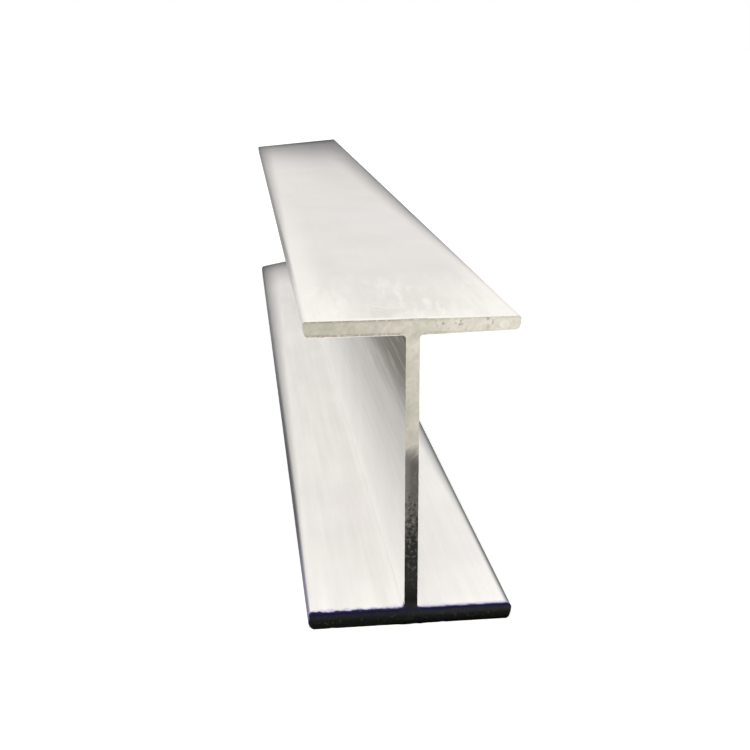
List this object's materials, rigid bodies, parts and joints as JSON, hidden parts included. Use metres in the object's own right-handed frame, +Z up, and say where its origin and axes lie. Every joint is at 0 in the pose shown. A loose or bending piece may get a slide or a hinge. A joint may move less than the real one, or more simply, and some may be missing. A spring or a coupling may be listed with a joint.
{
  "type": "steel h-beam",
  "caption": "Stainless steel H-section beam, two equal flanges on a thin upright web, sawn square at one end and mitred at the other.",
  "frame": {"origin": "on the underside, at the middle of the beam's length and width", "axes": "+Y along the beam towards the mitred end, +X across the flanges towards the longer edge, +Z up the web"},
  "size_m": [0.1, 1, 0.153],
  "materials": {
    "stainless_steel": "satin pickled mill finish, with a sawn face at each end"
  },
  "bodies": {
    "root": {"h_beam": "stainless_steel"}
  },
  "joints": []
}
